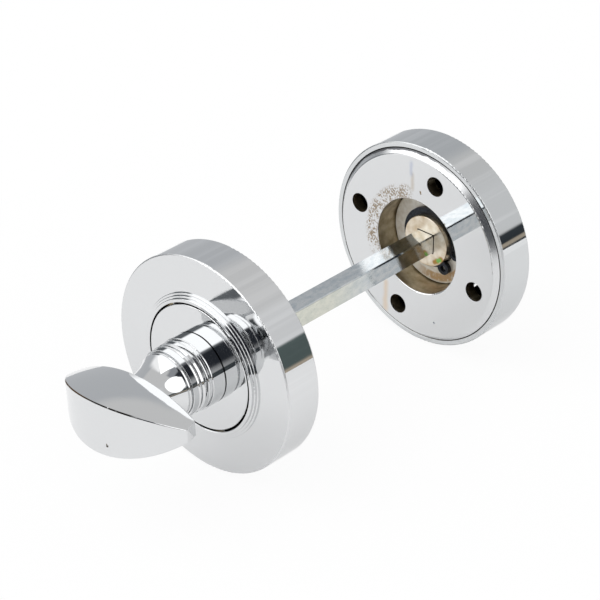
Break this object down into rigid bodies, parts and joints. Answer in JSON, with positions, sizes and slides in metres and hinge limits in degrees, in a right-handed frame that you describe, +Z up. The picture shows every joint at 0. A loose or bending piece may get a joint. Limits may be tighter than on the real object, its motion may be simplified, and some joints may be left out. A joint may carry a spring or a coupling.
{
  "type": "thumbturn",
  "caption": "Privacy thumbturn set for a door: a half-moon turn on a stepped neck in a round rose, joined by a square spindle to a coin-slot release in a matching rose.",
  "frame": {"origin": "on the spindle's axis, in the plane of the front rose's door face", "axes": "+Y along the spindle into the door, from the turn towards the release; +Z up as in the picture; +X to the right as seen from the turn's side"},
  "size_m": [0.053, 0.1203, 0.053],
  "materials": {
    "cover_chrome": "polished plate",
    "rose_chrome": "polished plate, raw in the recess",
    "turn_chrome": "polished plate",
    "release_chrome": "polished plate",
    "spindle_zinc": "bright zinc plate",
    "washer_steel": "bright",
    "ring_steel": "blackened spring steel"
  },
  "bodies": {
    "front_rose": {"front_cover_rose": "cover_chrome", "front_fixing_rose": "rose_chrome", "front_washer": "washer_steel"},
    "turn": {"turn": "turn_chrome", "spindle": "spindle_zinc", "front_circlip": "ring_steel"},
    "rear_rose": {"rear_cover_rose": "cover_chrome", "rear_fixing_rose": "rose_chrome", "rear_washer": "washer_steel"},
    "release": {"release": "release_chrome", "rear_circlip": "ring_steel"}
  },
  "joints": [
    {"name": "turn_spin", "type": "hinge", "parent": "front_rose", "child": "turn", "pos_m": [0, 0, 0], "axis": [0, 1, 0], "continuous": true},
    {"name": "rear_rose_slide", "type": "slide", "parent": "front_rose", "child": "rear_rose", "axis": [0, 1, 0], "range_m": [-0.0035, 0.0025]},
    {"name": "release_spin", "type": "hinge", "parent": "rear_rose", "child": "release", "pos_m": [0, 0.062, 0], "axis": [0, 1, 0], "continuous": true}
  ],
  "couplings": [
    {"joint": "release_spin", "follows": "turn_spin", "ratio": 1}
  ]
}
